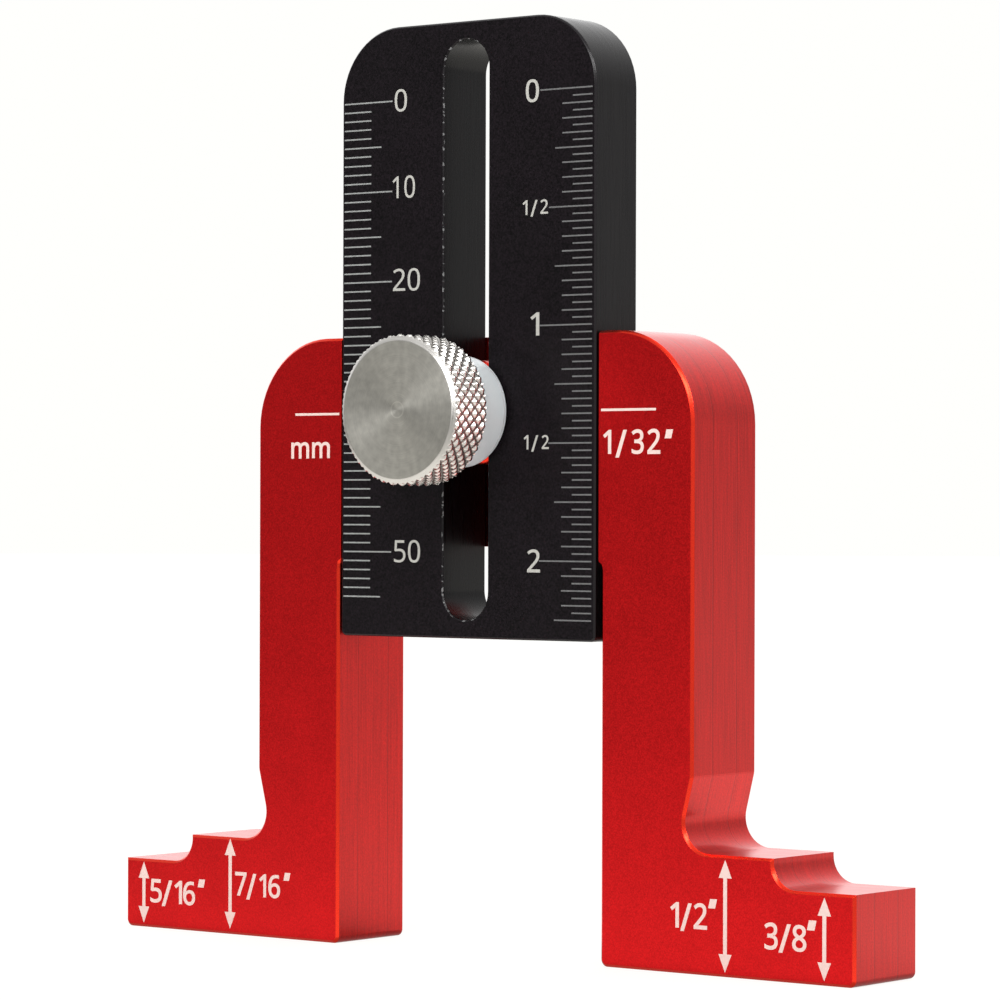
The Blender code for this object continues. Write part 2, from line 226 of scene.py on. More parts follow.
def add_node(tree, kind, inputs=None, **settings):
    """A node with its settings, and its inputs given as values or linked from sockets."""
    node = tree.nodes.new(kind)
    for key, value in settings.items():
        setattr(node, key, value)
    for key, value in (inputs or {}).items():
        if isinstance(value, bpy.types.NodeSocket):
            tree.links.new(value, node.inputs[key])
        else:
            node.inputs[key].default_value = value
    return node


def maths(tree, operation, first, second=0.0, clamp=False):
    """The result of a maths node on values or sockets."""
    node = add_node(tree, "ShaderNodeMath", {0: first, 1: second}, operation=operation, use_clamp=clamp)
    return node.outputs[0]


def spread(tree, value, low, high, to_low=0.0, to_high=1.0, smooth=False):
    """Value moved from one range to another, and kept inside it."""
    kind = "SMOOTHSTEP" if smooth else "LINEAR"
    places = {0: value, 1: low, 2: high, 3: to_low, 4: to_high}
    return add_node(tree, "ShaderNodeMapRange", places, interpolation_type=kind, clamp=True).outputs[0]


def speckle(tree, place, size, detail=2.0, stretch=None):
    """Noise with features of the given size in metres, drawn out along an axis by stretch."""
    if stretch:
        place = add_node(tree, "ShaderNodeMapping", {0: place, 3: stretch}).outputs[0]
    node = add_node(tree, "ShaderNodeTexNoise", {"Vector": place, "Scale": 1 / size, "Detail": detail})
    return node.outputs[0]


def blend_colours(tree, factor, first, second):
    """A mix of two colours, each given as a value or a socket."""
    node = add_node(tree, "ShaderNodeMix", {0: factor}, data_type="RGBA")
    for socket, value in ((node.inputs[6], first), (node.inputs[7], second)):
        if isinstance(value, bpy.types.NodeSocket):
            tree.links.new(value, socket)
        else:
            socket.default_value = (*value, 1)
    return node.outputs[2]


def relief(tree, shader, height, distance, strength):
    """Gives the shader a fine relief of the given depth."""
    node = add_node(tree, "ShaderNodeBump", {"Height": height, "Distance": distance, "Strength": strength})
    tree.links.new(node.outputs[0], shader.inputs["Normal"])


def shade(value, factor):
    """A colour made darker or paler by a factor."""
    return tuple(min(1.0, channel * factor) for channel in value)


def blasted_finish(name, base, grain, metallic, roughness, specular, contrast):
    """Anodised metal under a fine blasted grain."""
    material, tree, shader, place = new_finish(name, metallic, roughness, specular)
    fine = speckle(tree, place, grain)
    broad = speckle(tree, place, 40 * grain, detail=3)
    tone = maths(tree, "ADD", spread(tree, fine, 0.25, 0.75), spread(tree, broad, 0.3, 0.7, -0.1, 0.1), clamp=True)
    mixed = blend_colours(tree, tone, shade(base, 1 - contrast), shade(base, 1 + contrast))
    tree.links.new(mixed, shader.inputs["Base Color"])
    rough = spread(tree, fine, 0.3, 0.7, roughness - 0.05, roughness + 0.05)
    tree.links.new(rough, shader.inputs["Roughness"])
    relief(tree, shader, fine, grain * 0.12, 0.7)
    return material


def milled_finish(name, base, metallic, roughness, specular, seams=(), coat=0.0):
    """Anodised metal with the streaks that an end mill leaves along a wall, and a dark line at each seam."""
    material, tree, shader, place = new_finish(name, metallic, roughness, specular)
    shader.inputs["Coat Weight"].default_value = coat
    shader.inputs["Coat Roughness"].default_value = 0.15
    streaks = speckle(tree, place, 0.22 * MM, detail=3, stretch=(0.03, 1, 0.03))
    grain = speckle(tree, place, 0.2 * MM)
    halves = [spread(tree, noise, 0.3, 0.7, 0, 0.5) for noise in (streaks, grain)]
    tone = maths(tree, "ADD", *halves, clamp=True)
    mixed = blend_colours(tree, tone, shade(base, 0.66), shade(base, 1.28))
    height = streaks
    if seams:
        parts = add_node(tree, "ShaderNodeSeparateXYZ", {0: place})
        right_side = maths(tree, "GREATER_THAN", parts.outputs[0], 0.0)
        dark = 0.0
        for left_seam, right_seam in seams:
            seam = spread(tree, right_side, 0, 1, left_seam * MM, right_seam * MM)
            gap = maths(tree, "ABSOLUTE", maths(tree, "SUBTRACT", parts.outputs[1], seam))
            line = spread(tree, gap, 0.03 * MM, 0.1 * MM, 1, 0, smooth=True)
            dark = maths(tree, "MAXIMUM", line, dark)
        mixed = blend_colours(tree, maths(tree, "MULTIPLY", dark, 0.45), mixed, shade(base, 0.3))
        height = maths(tree, "SUBTRACT", streaks, dark)
    tree.links.new(mixed, shader.inputs["Base Color"])
    rough = spread(tree, streaks, 0.3, 0.7, roughness - 0.04, roughness + 0.06)
    tree.links.new(rough, shader.inputs["Roughness"])
    relief(tree, shader, height, 0.008 * MM, 0.6)
    return material


def cut_edge_finish(name, base, metallic, roughness, specular, worn=None, share=0.0):
    """A cut edge break, glossier than the faces beside it, with bare nicks where worn is given."""
    material, tree, shader, place = new_finish(name, metallic, roughness, specular)
    grain = speckle(tree, place, 0.15 * MM)
    mixed = blend_colours(tree, grain, shade(base, 0.8), shade(base, 1.15))
    if worn:
        nicks = speckle(tree, place, 0.55 * MM, detail=3)
        bare = spread(tree, nicks, 1 - share, 1 - share + 0.03)
        mixed = blend_colours(tree, bare, mixed, worn)
    tree.links.new(mixed, shader.inputs["Base Color"])
    relief(tree, shader, grain, 0.01 * MM, 0.5)
    return material


def from_axis(tree, place, height):
    """The vector from an axis along Y to a place, and its length."""
    away = add_node(tree, "ShaderNodeVectorMath", {0: place, 1: (0, 0, height)}, operation="SUBTRACT").outputs[0]
    flat = add_node(tree, "ShaderNodeVectorMath", {0: away, 1: (1, 0, 1)}, operation="MULTIPLY").outputs[0]
    radius = add_node(tree, "ShaderNodeVectorMath", {0: flat}, operation="LENGTH").outputs["Value"]
    return flat, radius


def turned_tangent(tree, shader, away):
    """Draws reflections out across the turning marks, away from an axis along Y."""
    turned = add_node(
        tree, "ShaderNodeVectorTransform", {0: away}, vector_type="VECTOR", convert_from="OBJECT", convert_to="WORLD"
    )
    tree.links.new(turned.outputs[0], shader.inputs["Tangent"])


def turned_steel_finish(settings):
    """The faced end of the knob: fine rings round its centre."""
    material, tree, shader, place = new_finish("turned_steel", 1, 0.36, 0.5)
    away, radius = from_axis(tree, place, SCREW_HEIGHT)
    rings = add_node(tree, "ShaderNodeTexNoise", {"W": radius, "Scale": 9000.0, "Detail": 3.0}, noise_dimensions="1D")
    blotch = speckle(tree, place, 0.9 * MM, detail=6)
    tone = maths(tree, "ADD", spread(tree, rings.outputs[0], 0.3, 0.7, 0, 0.3), spread(tree, blotch, 0.3, 0.7, 0, 0.7))
    mixed = blend_colours(tree, tone, shade(settings.face_steel, 0.84), shade(settings.face_steel, 1.18))
    ring_gap = maths(tree, "ABSOLUTE", maths(tree, "SUBTRACT", radius, settings.centre_radius))
    circle = spread(tree, ring_gap, 0.02 * MM, 0.1 * MM, 0.6, 0, smooth=True)
    mixed = blend_colours(tree, circle, mixed, shade(settings.face_steel, 1.35))
    tree.links.new(mixed, shader.inputs["Base Color"])
    shader.inputs["Anisotropic"].default_value = 0.7
    turned_tangent(tree, shader, away)
    relief(tree, shader, rings.outputs[0], 0.001 * MM, 0.5)
    return material


def knurled_steel_finish(settings):
    """The rolled knurl: burnished tops over dull grooves, darkened towards the groove colour by painted shade."""
    material, tree, shader, place = new_finish("knurled_steel", 1, 0.3, 0.5)
    radius = from_axis(tree, place, SCREW_HEIGHT)[1]
    depth = settings.knurl_depth
    # Painted shade: the colour goes from the steel on the tops to the groove colour deep in the grooves, with a random
    # smut tone on top
    top = spread(tree, radius, SCREW_RADIUS - depth, SCREW_RADIUS - 0.6 * depth, smooth=True)
    smut = speckle(tree, place, 0.3 * MM, detail=3)
    tone = maths(tree, "MULTIPLY", top, spread(tree, smut, 0.25, 0.6, 0.8, 1))
    tree.links.new(blend_colours(tree, tone, settings.groove, settings.steel), shader.inputs["Base Color"])
    tree.links.new(spread(tree, top, 0, 1, 0.45, 0.24), shader.inputs["Roughness"])
    relief(tree, shader, smut, 0.004 * MM, 0.5)
    return material


def plain_steel_finish(settings):
    """Steel turned along its length: the bevels, the knob's back and the thread."""
    material, tree, shader, place = new_finish("plain_turned_steel", 1, 0.25, 0.5)
    rings = speckle(tree, place, 0.1 * MM, detail=2, stretch=(0.05, 1, 0.05))
    mixed = blend_colours(tree, rings, shade(settings.steel, 0.71), shade(settings.steel, 0.93))
    tree.links.new(mixed, shader.inputs["Base Color"])
    tree.links.new(spread(tree, rings, 0.3, 0.7, 0.25, 0.38), shader.inputs["Roughness"])
    relief(tree, shader, rings, 0.003 * MM, 0.5)
    return material


def nylon_finish(settings):
    """Natural nylon, a little translucent, with faint turning marks and a line of painted shade along the small groove
    near its back face.
    """
    material, tree, shader, place = new_finish("natural_nylon", 0, 0.38, 0.4)
    rings = speckle(tree, place, 0.16 * MM, detail=2, stretch=(0.04, 1, 0.04))
    cloud = speckle(tree, place, 2 * MM, detail=2)
    tone = maths(tree, "ADD", maths(tree, "MULTIPLY", rings, 0.5), maths(tree, "MULTIPLY", cloud, 0.5))
    mixed = blend_colours(tree, tone, shade(settings.nylon, 0.95), shade(settings.nylon, 1.04))
    # Painted shade: a thin dark line in the colour, where the small groove near the back face lies
    parts = add_node(tree, "ShaderNodeSeparateXYZ", {0: place})
    off_painted_groove_shade = maths(tree, "ABSOLUTE", maths(tree, "SUBTRACT", parts.outputs[1], COLLAR_HIGH.y - settings.edge_radius))
    line = spread(tree, off_painted_groove_shade, 0.04 * MM, 0.14 * MM, 0.4, 0, smooth=True)
    mixed = blend_colours(tree, line, mixed, (0.42, 0.37, 0.37))
    tree.links.new(mixed, shader.inputs["Base Color"])
    shader.inputs["Subsurface Weight"].default_value = 0.7
    shader.inputs["Subsurface Radius"].default_value = (1, 1, 1)
    shader.inputs["Subsurface Scale"].default_value = 2 * MM
    relief(tree, shader, rings, 0.004 * MM, 0.5)
    return material


def marking_finish(name, base, unevenness):
    """Etched and filled marks, slightly uneven along their length."""
    material, tree, shader, place = new_finish(name, 0, 0.6, 0.2)
    patches = speckle(tree, place, 0.3 * MM, detail=3)
    tone = spread(tree, patches, 0.3, 0.7)
    tree.links.new(blend_colours(tree, tone, shade(base, 1 - unevenness), base), shader.inputs["Base Color"])
    relief(tree, shader, patches, 0.01 * MM, 0.3)
    return material


# Shapes


def finish_piece(name, bm, body, materials, nodes=(), sharp=50.0, weighted=True):
    """Turns a mesh into a smooth-shaded piece that rides on a body and stands for the given nodes."""
    mesh = bpy.data.meshes.new(name)
    bm.to_mesh(mesh)
    bm.free()
    if "custom_normal" in mesh.attributes:
        mesh.attributes.remove(mesh.attributes["custom_normal"])
    for material in materials:
        mesh.materials.append(material)
    piece = bpy.data.objects.new(name, mesh)
    bpy.context.scene.collection.objects.link(piece)
    mesh.shade_smooth()
    mesh.set_sharp_from_angle(angle=math.radians(sharp))
    if weighted:
        modifier = piece.modifiers.new("even_shading", "WEIGHTED_NORMAL")
        modifier.keep_sharp = True
    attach(piece, body)
    if nodes:
        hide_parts(*nodes)


def finish_marks(name, bm, body, finish):
    """Turns marks into a piece of their own that rides on a body."""
    finish_piece(name, bm, body, [finish], weighted=False, sharp=30)


def joined_copy(node, edge_round):
    """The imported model's own shape with its triangles joined, its flats made whole and its edges rounded."""
    bm = bmesh.new()
    bm.from_mesh(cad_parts[node].data)
    bmesh.ops.remove_doubles(bm, verts=bm.verts, dist=1e-6)
    bmesh.ops.dissolve_limit(bm, angle_limit=math.radians(0.5), verts=bm.verts, edges=bm.edges)
    sharp = [e for e in bm.edges if e.is_manifold and e.calc_face_angle() > math.radians(25)]
    bmesh.ops.bevel(
        bm, geom=sharp, offset=edge_round, affect="EDGES", segments=2, profile=0.5, material=-1, clamp_overlap=True
    )
    return bm


def sort_faces(bm, low, high):
    """Gives material 0 to the front and back, 1 to the walls and the guide, and 2 to the edge breaks."""
    for face in bm.faces:
        depth = face.calc_center_median().y
        facing = abs(face.normal.y)
        on_face = depth < low + FACE_BAND or depth > high - FACE_BAND
        if facing > FACING_FRONT:
            face.material_index = 0 if on_face else 1
        else:
            face.material_index = 1 if facing < FACING_SIDE else 2


def spun(bm, profile, steps):
    """Spins a profile of (radius, distance along the axis) round the axis Y through the screw's centre."""
    centre = Vector((0, 0, SCREW_HEIGHT))
    points = [bm.verts.new(centre + Vector((radius, along, 0))) for radius, along in profile]
    edges = [bm.edges.new(pair) for pair in zip(points, points[1:])]
    if profile[0][0] > 1e-7:
        edges.append(bm.edges.new((points[-1], points[0])))
    bmesh.ops.spin(bm, geom=points + edges, cent=centre, axis=(0, 1, 0), angle=math.tau, steps=steps, use_merge=True)
    bmesh.ops.remove_doubles(bm, verts=bm.verts, dist=1e-7)
    bmesh.ops.recalc_face_normals(bm, faces=bm.faces)


def rise(start, end, count):
    """Evenly spaced distances from start to end, both included."""
    return [start + (end - start) * i / count for i in range(count + 1)]


def mark_line(bm, left, right, height, width, surface, proud):
    """A line across a surface, as a closed bar that is sunk into it."""
    centre = ((left + right) / 2, surface + (LINE_SUNK - proud) / 2, height)
    size = (right - left, proud + LINE_SUNK, width)
    bmesh.ops.create_cube(bm, size=1, matrix=Matrix.LocRotScale(Vector(centre), None, Vector(size)))


def word_mesh(words, heavier):
    """Words in a plain sans face as a closed mesh of unit depth, lying flat."""
    curve = bpy.data.curves.new("lettering", "FONT")
    curve.body = "".join(SANS_DIGITS.get(sign, sign) for sign in words)
    curve.size, curve.extrude, curve.offset, curve.resolution_u = 1, 0.5, heavier, 8
    text = bpy.data.objects.new("lettering", curve)
    bpy.context.scene.collection.objects.link(text)
    bpy.context.view_layer.update()
    mesh = bpy.data.meshes.new_from_object(text.evaluated_get(bpy.context.evaluated_depsgraph_get()))
    bpy.data.objects.remove(text)
    bpy.data.curves.remove(curve)
    return mesh


def letter(bm, words, surface, proud, base, top, left, right, heavier):
    """Adds words that reach from base to top and from left to right."""
    mesh = word_mesh(words, heavier)
    low = Vector(min(v.co[i] for v in mesh.vertices) for i in range(3))
    high = Vector(max(v.co[i] for v in mesh.vertices) for i in range(3))
    wide, tall = (right - left) / (high.x - low.x), (top - base) / (high.y - low.y)
    across = (wide, 0, 0, left - wide * low.x)
    deep = (0, 0, -MARK_THICKNESS, surface - proud + MARK_THICKNESS / 2)
    upward = (0, tall, 0, base - tall * low.y)
    mesh.transform(Matrix((across, deep, upward, (0, 0, 0, 1))))
    bm.from_mesh(mesh)
    bpy.data.meshes.remove(mesh)


def scale_numerals(bm, numerals, step, zero, marks, heavier):
    """Adds numerals given with their count, left, right and lift over their line in millimetres."""
    half = marks.numeral_height / 2
    for count, left, right, lift in numerals:
        height = zero + lift * MM - count * step
        places = (PLATE_LOW.y, marks.proud, height - half, height + half, left * MM, right * MM)
        letter(bm, str(count), *places, heavier)


def line_of_glyphs(bm, glyphs, surface, proud, heavier, lift=0.0):
    """Adds glyphs given with their left, right, base and top in millimetres. An inch mark is one slanted block."""
    for glyph, *sides in glyphs:
        left, right, base, top = (side * MM for side in sides)
        base, top = base + lift, top + lift
        if glyph == "″":
            lean = 0.25 * (top - base)
            flat_shape(bm, [(left, base), (right - lean, base), (right, top), (left + lean, top)], surface, proud)
        else:
            weight = heavier * 0.6 if glyph == "/" else heavier
            letter(bm, glyph, surface, proud, base, top, left, right, weight)


def flat_shape(bm, outline, surface, proud):
    """A thin flat block sunk in the surface, with an anticlockwise outline of (across, height)."""
    back = surface - proud + MARK_THICKNESS
    face = bm.faces.new([bm.verts.new((x, back, z)) for x, z in outline])
    extruded = bmesh.ops.extrude_face_region(bm, geom=[face])
    verts = [v for v in extruded["geom"] if isinstance(v, bmesh.types.BMVert)]
    bmesh.ops.translate(bm, verts=verts, vec=(0, -MARK_THICKNESS, 0))


def arrow(bm, across, low, high, surface, proud):
    """A double-headed arrow between two heights."""
    under, over = low + ARROW_HEAD, high - ARROW_HEAD
    side = [(ARROW_HALF, under), (ARROW_SHAFT, under), (ARROW_SHAFT, over), (ARROW_HALF, over)]
    outline = [(0, low), *side, (0, high), *[(-x, z) for x, z in reversed(side)]]
    flat_shape(bm, [(across + x, z) for x, z in outline], surface, proud)


# Operators


class HEIGHTGAUGE_OT_bridge(bpy.types.Operator):
    """Dress the red bridge with its stepped feet, guide and key"""

    bl_idname = "height_gauge.bridge"
    bl_label = "Red bridge"

    def execute(self, context):
        settings = context.scene.height_gauge.bridge
        bm = joined_copy("bridge_frame", settings.edge_round)
        for vert in bm.verts:
            self.narrow_guide(vert, settings)
            self.tighten_waist(vert, settings)
        sort_faces(bm, BRIDGE_LOW.y, BRIDGE_HIGH.y)
        seams = ((3.66, 3.87), (8.93, 8.27))
        materials = [
            blasted_finish("blasted_red", settings.front_red, settings.grain, 1, 0.4, 0.4, 0.21),
            milled_finish("milled_red", settings.wall_red, 1, 0.34, 0.5, seams, coat=0.26),
            cut_edge_finish("cut_edge_red", settings.edge_red, 1, 0.25, 0.5),
        ]
        finish_piece("anodised_bridge", bm, "frame", materials, ["bridge_frame"])
        return {"FINISHED"}

    def narrow_guide(self, vert, settings):
        """Moves the guide's wall to its set distance and halves the rounding of its edge."""
        across = abs(vert.co.x)
        beside = GUIDE_INNER < across < GUIDE_OUTER
        if beside and vert.co.y < GUIDE_FLOOR and vert.co.z > GUIDE_FOOT:
            vert.co.x *= (settings.guide_half + 0.5 * (across - GUIDE_WALL)) / across

    def tighten_waist(self, vert, settings):
        """Gathers the blend where a leg's outer wall turns into its waist, so that it catches the light as a crease."""
        waist = settings.right_waist if vert.co.x > 0 else settings.left_waist
        drop = waist - vert.co.z
        if abs(vert.co.x) > LEG_WALL and abs(drop) < WAIST_REACH:
            vert.co.z = waist - WAIST_LEFT_OVER * drop
            outward = (1 - WAIST_LEFT_OVER) * max(0, drop) * math.tan(settings.waist_angle)
            vert.co.x += math.copysign(outward, vert.co.x)


class HEIGHTGAUGE_OT_plate(bpy.types.Operator):
    """Dress the black scale plate with its long slot"""

    bl_idname = "height_gauge.plate"
    bl_label = "Black scale plate"

    def execute(self, context):
        settings = context.scene.height_gauge.plate
        bm = joined_copy("scale_slide", settings.edge_round)
        for vert in bm.verts:
            if abs(vert.co.x) < SLOT_ZONE:
                vert.co.x *= settings.slot_fit
        sort_faces(bm, PLATE_LOW.y, PLATE_HIGH.y)
        for face in bm.faces:
            middle = face.calc_center_median()
            within = PLATE_LOW.z + MM < middle.z < PLATE_HIGH.z - MM
            if face.material_index == 2 and abs(middle.x) < SLOT_MOUTH_ZONE and within:
                face.material_index = 3
        materials = [
            blasted_finish("blasted_black", settings.front_black, settings.grain, 0, 0.42, 0.12, 0.9),
            milled_finish("milled_black", settings.wall_black, 0, 0.28, 0.19),
            cut_edge_finish("cut_edge_black", settings.front_black, 0, 0.25, 0.3),
            cut_edge_finish("nicked_slot_edge", settings.front_black, 0, 0.3, 0.25, settings.nick_colour, 0.44),
        ]
        finish_piece("anodised_scale_plate", bm, "slide", materials, ["scale_slide"])
        return {"FINISHED"}


class HEIGHTGAUGE_OT_collar(bpy.types.Operator):
    """Turn the white collar between knob and scale plate"""

    bl_idname = "height_gauge.collar"
    bl_label = "White collar"

    def execute(self, context):
        settings = context.scene.height_gauge.collar
        outer = (COLLAR_HIGH.x - COLLAR_LOW.x) / 2
        edge = settings.edge_radius
        turns = [math.pi / 2 * i / 8 for i in range(9)]
        front = [(outer - edge + edge * math.sin(t), COLLAR_LOW.y + edge - edge * math.cos(t)) for t in turns]
        rim, line = 0.6 * edge, 0.07 * MM
        back = [(outer, -1.2), (outer - line, -1.05), (outer - line, -0.95), (outer, -0.8)]
        back = [(radius, COLLAR_HIGH.y + edge * along) for radius, along in back]
        back += [(outer - rim + rim * math.cos(t), COLLAR_HIGH.y - rim + rim * math.sin(t)) for t in turns]
        ease = 0.15 * MM
        bore = [
            (settings.bore_radius + ease, COLLAR_HIGH.y),
            (settings.bore_radius, COLLAR_HIGH.y - ease),
            (settings.bore_radius, COLLAR_LOW.y + ease),
            (settings.bore_radius + ease, COLLAR_LOW.y),
        ]
        bm = bmesh.new()
        spun(bm, front + back + bore, 144)
        finish_piece("turned_collar", bm, "collar", [nylon_finish(settings)], ["nylon_collar"], 40)
        return {"FINISHED"}


class HEIGHTGAUGE_OT_screw(bpy.types.Operator):
    """Turn the thumb screw, roll its diamond knurl and cut its thread"""

    bl_idname = "height_gauge.screw"
    bl_label = "Knurled thumb screw"

    def execute(self, context):
        settings = context.scene.height_gauge.screw
        bm = bmesh.new()
        self.turn_knob(bm, settings)
        self.cut_thread(bm, settings)
        materials = [turned_steel_finish(settings), knurled_steel_finish(settings), plain_steel_finish(settings)]
        finish_piece("knurled_thumb_screw", bm, "screw", materials, ["thumb_screw"], 60, False)
        return {"FINISHED"}

    def turn_knob(self, bm, settings):
        front, back = SCREW_LOW.y, SCREW_LOW.y + settings.knob_length
        centre, face = settings.centre_radius, settings.face_radius
        step = settings.knurl_pitch / settings.divisions
        band_front, band_back = front + settings.face_bevel, back - settings.back_bevel
        profile = [(0, front + 0.008 * MM), (centre, front + 0.006 * MM), (centre * 1.06, front)]
        profile += [(radius, front) for radius in rise(centre * 1.3, face - 0.12 * MM, 8)]
        profile += [(face - 0.03 * MM, front + 0.004 * MM)]
        slope = SCREW_RADIUS - face
        for share in rise(0.03, 0.94, 7):
            profile.append((face + slope * share, front + settings.face_bevel * share))
        rows = round((band_back - band_front) / step)
        profile += [(SCREW_RADIUS, along) for along in rise(band_front, band_back, rows)]
        for share in rise(0.2, 1, 4):
            profile.append((SCREW_RADIUS - slope * share, band_back + settings.back_bevel * share))
        profile += [(settings.thread_radius, back), (0, back)]
        spun(bm, profile, settings.diamonds * settings.divisions)
        for vert in bm.verts:
            self.press_knurl(vert, front + settings.knurl_start, settings)
        for face_item in bm.faces:
            middle = face_item.calc_center_median()
            radius = math.hypot(middle.x, middle.z - SCREW_HEIGHT)
            on_front = middle.y < front + 0.2 * MM and radius < face - 0.02 * MM
            on_rim = radius > SCREW_RADIUS - 1.1 * settings.knurl_depth
            in_band = on_rim and band_front - 0.1 * MM < middle.y < band_back
            face_item.material_index = 0 if on_front else 1 if in_band else 2

    def press_knurl(self, vert, start, settings):
        """Sinks a point of the rim into the nearest of two crossing sets of grooves."""
        x, z = vert.co.x, vert.co.z - SCREW_HEIGHT
        radius = math.hypot(x, z)
        if radius < SCREW_RADIUS - 1.2 * settings.knurl_depth:
            return
        round_count = (math.atan2(z, x) - settings.knurl_turn) / math.tau * settings.diamonds
        along_count = (vert.co.y - start) / settings.knurl_pitch
        crossings = (round_count + along_count + 0.5, round_count - along_count + 0.5)
        nearest = min(abs(count - round(count)) for count in crossings)
        groove = settings.knurl_depth * (1 - 2 * nearest) ** 1.5
        pressed = min(radius, SCREW_RADIUS - groove) / radius
        vert.co.x, vert.co.z = x * pressed, SCREW_HEIGHT + z * pressed

    def cut_thread(self, bm, settings):
        """A screw thread that runs out under the knob and at the tip."""
        thread = bmesh.new()
        start, tip = SCREW_LOW.y + settings.knob_length - 0.1 * MM, SCREW_HIGH.y
        pitch, steps = settings.thread_pitch, 48
        rows = rise(start, tip, round((tip - start) / pitch * 12))
        crest = settings.thread_radius
        profile = [(0, start)] + [(crest, along) for along in rows] + [(0, tip)]
        spun(thread, profile, steps)
        for vert in thread.verts:
            x, z = vert.co.x, vert.co.z - SCREW_HEIGHT
            radius = math.hypot(x, z)
            if radius < 0.1 * MM:
                continue
            turn = (vert.co.y / pitch + math.atan2(z, x) / math.tau) % 1
            flank = min(1, abs(2 * turn - 1) * 1.25)
            fade = min(1, max(0, (vert.co.y - start - 1.2 * MM) / pitch))
            point = max(0, vert.co.y - (tip - 0.5 * MM))
            cut = min(radius, crest - settings.thread_depth * flank * fade, crest - point) / radius
            vert.co.x, vert.co.z = x * cut, SCREW_HEIGHT + z * cut
        for face in thread.faces:
            face.material_index = 2
        mesh = bpy.data.meshes.new("thread")
        thread.to_mesh(mesh)
        thread.free()
        bm.from_mesh(mesh)
        bpy.data.meshes.remove(mesh)


class HEIGHTGAUGE_OT_millimetre_scale(bpy.types.Operator):
    """Mark the millimetre scale on the scale plate's left edge"""

    bl_idname = "height_gauge.millimetre_scale"
    bl_label = "Millimetre scale"

    def execute(self, context):
        marks = context.scene.height_gauge.marks
        zero = PLATE_LOW.z + marks.zero_height
        lines = bmesh.new()
        for count in range(56):
            end = -10.46 if count % 10 == 0 else -12.03 if count % 5 == 0 else -13.5
            sides = (MILLIMETRE_LINES_START, end * MM)
            mark_line(lines, *sides, zero - count * MM, marks.line_width, PLATE_LOW.y, marks.proud)
        finish = marking_finish("millimetre_lines", marks.line_white, 0.25)
        finish_marks("millimetre_scale", lines, "slide", finish)
        numerals = bmesh.new()
        places = (
            (0, -10.13, -8.38, 0.03), (10, -10.4, -7.2, 0.42), (20, -10.3, -6.45, 0.14),
            (30, -10.31, -6.48, 0.1), (40, -10.31, -6.43, 0.1), (50, -10.05, -6.31, 0.09),
        )
        scale_numerals(numerals, places, MM, zero, marks, 0.002)
        finish = marking_finish("numeral_white", marks.numeral_white, 0.08)
        finish_marks("millimetre_numerals", numerals, "slide", finish)
        return {"FINISHED"}


class HEIGHTGAUGE_OT_inch_scale(bpy.types.Operator):
    """Mark the scale of thirty-seconds of an inch on the scale plate's right edge"""

    bl_idname = "height_gauge.inch_scale"
    bl_label = "Inch scale"

    def execute(self, context):
        marks = context.scene.height_gauge.marks
        zero = PLATE_LOW.z + marks.zero_height
        starts = {32: 10.25, 16: 11.48, 8: 12.29, 4: 13.25, 2: 13.25, 1: 14.67}
        lines = bmesh.new()
        for count in range(73):
            start = next(begin for step, begin in starts.items() if count % step == 0)
            sides = (start * MM, INCH_LINES_END)
            mark_line(lines, *sides, zero - count * INCH / 32, marks.line_width, PLATE_LOW.y, marks.proud)
        finish = marking_finish("inch_lines", marks.inch_grey, 0.2)
        finish_marks("inch_scale", lines, "slide", finish)
        numerals = bmesh.new()
        places = ((0, 8.27, 10.06, 0), (1, 8.98, 10.2, 0.18), (2, 8.63, 10.41, 0))
        scale_numerals(numerals, places, INCH, zero, marks, 0.01)
        halves = (
            ("1", 7.87, 8.54, -13.4, -11.8),
            ("/", 8.95, 9.91, -13.6, -11.82),
            ("2", 10.31, 11.33, -13.36, -11.8),
            ("1", 8.12, 8.76, -38.76, -37.2),
            ("/", 9.15, 10.1, -39.0, -37.23),
            ("2", 10.58, 11.53, -38.73, -37.22),
        )
        line_of_glyphs(numerals, halves, PLATE_LOW.y, marks.proud, 0.012, zero)
        finish = marking_finish("inch_numeral_white", marks.numeral_white, 0.08)
        finish_marks("inch_numerals", numerals, "slide", finish)
        return {"FINISHED"}


